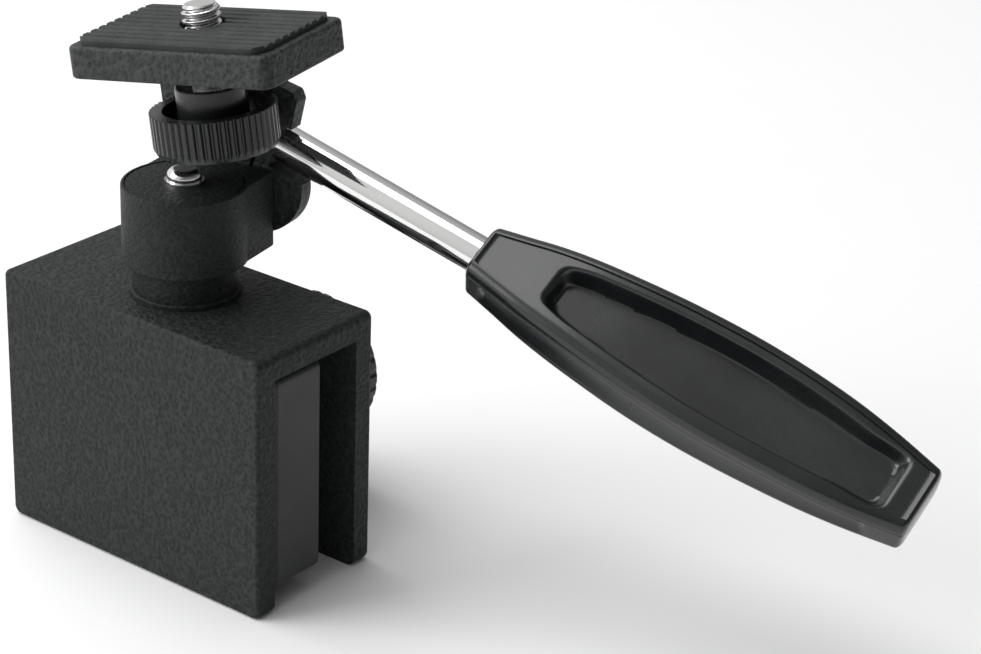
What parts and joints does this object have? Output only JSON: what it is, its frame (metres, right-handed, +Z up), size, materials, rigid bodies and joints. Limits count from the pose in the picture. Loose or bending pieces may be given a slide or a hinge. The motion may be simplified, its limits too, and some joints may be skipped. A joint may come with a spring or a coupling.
{
  "type": "car window camera mount",
  "caption": "Window clamp with a thumbscrew pressure plate carrying a pan and tilt head, a ribbed camera platform with a screw stud and a twist-lock handle.",
  "frame": {"origin": "on the pan axis, at the mouth of the window slot where the clamp's two legs end", "axes": "+Z up along the pan axis, +X along the clamp towards the handle, +Y towards the thumb knob"},
  "size_m": [0.15, 0.0583, 0.0965],
  "materials": {
    "clamp_coat": "textured black powder coat",
    "plate_metal": "satin dark grey anodised",
    "liner_rubber": "matt black",
    "bright_steel": "polished bright plating",
    "black_screw": "black oxide thread",
    "knob_plastic": "satin black",
    "nylon": "black nylon",
    "head_coat": "textured black powder coat",
    "cap_coat": "textured black powder coat",
    "pad_rubber": "ribbed matt black",
    "wheel_plastic": "dark grey moulded",
    "grip_plastic": "gloss charcoal",
    "insert_brass": "turned"
  },
  "bodies": {
    "base": {"clamp_body": "clamp_coat", "pan_post": "head_coat", "post_bolt": "black_screw", "pan_washer": "nylon", "pan_cap": "cap_coat", "cap_washer": "bright_steel", "cap_screw": "bright_steel"},
    "jaw": {"pressure_plate": "plate_metal", "plate_liner": "liner_rubber"},
    "spindle": {"clamp_screw": "black_screw", "screw_clip": "bright_steel", "thumb_knob": "knob_plastic"},
    "head": {"pan_collar": "head_coat", "tilt_axle": "bright_steel", "tilt_washer": "nylon", "axle_washer": "bright_steel", "axle_screw": "bright_steel"},
    "platform": {"tilt_bracket": "head_coat", "platform_pad": "pad_rubber"},
    "stud": {"camera_screw": "bright_steel", "thumbwheel": "wheel_plastic", "stud_clip": "bright_steel"},
    "handle": {"handle_rod": "bright_steel", "rod_washer": "bright_steel", "grip_insert": "insert_brass", "grip_upper": "grip_plastic", "grip_lower": "grip_plastic"}
  },
  "joints": [
    {"name": "pan", "type": "hinge", "parent": "base", "child": "head", "pos_m": [0, 0, 0.059], "axis": [0, 0, 1], "continuous": true},
    {"name": "tilt", "type": "hinge", "parent": "head", "child": "platform", "pos_m": [0.00243, 0.01457, 0.06], "axis": [0.1788, -0.9839, 0], "range_deg": [-20, 20]},
    {"name": "camera_screw_turn", "type": "hinge", "parent": "platform", "child": "stud", "pos_m": [0.00474, 0.00238, 0.07616], "axis": [-0.1335, -0.0243, 0.9907], "continuous": true},
    {"name": "handle_twist", "type": "hinge", "parent": "platform", "child": "handle", "pos_m": [0.00649, 0.01693, 0.06961], "axis": [0.935, 0.1699, -0.3112], "range_deg": [-90, 90]},
    {"name": "jaw_slide", "type": "slide", "parent": "base", "child": "jaw", "axis": [0, 1, 0], "range_m": [0, 0.0084]},
    {"name": "clamp_screw_turn", "type": "hinge", "parent": "jaw", "child": "spindle", "pos_m": [0, 0, 0.0216], "axis": [0, 1, 0], "range_deg": [0, 2420]}
  ],
  "couplings": [
    {"joint": "clamp_screw_turn", "follows": "jaw_slide", "rad_per_m": 5026.5}
  ]
}
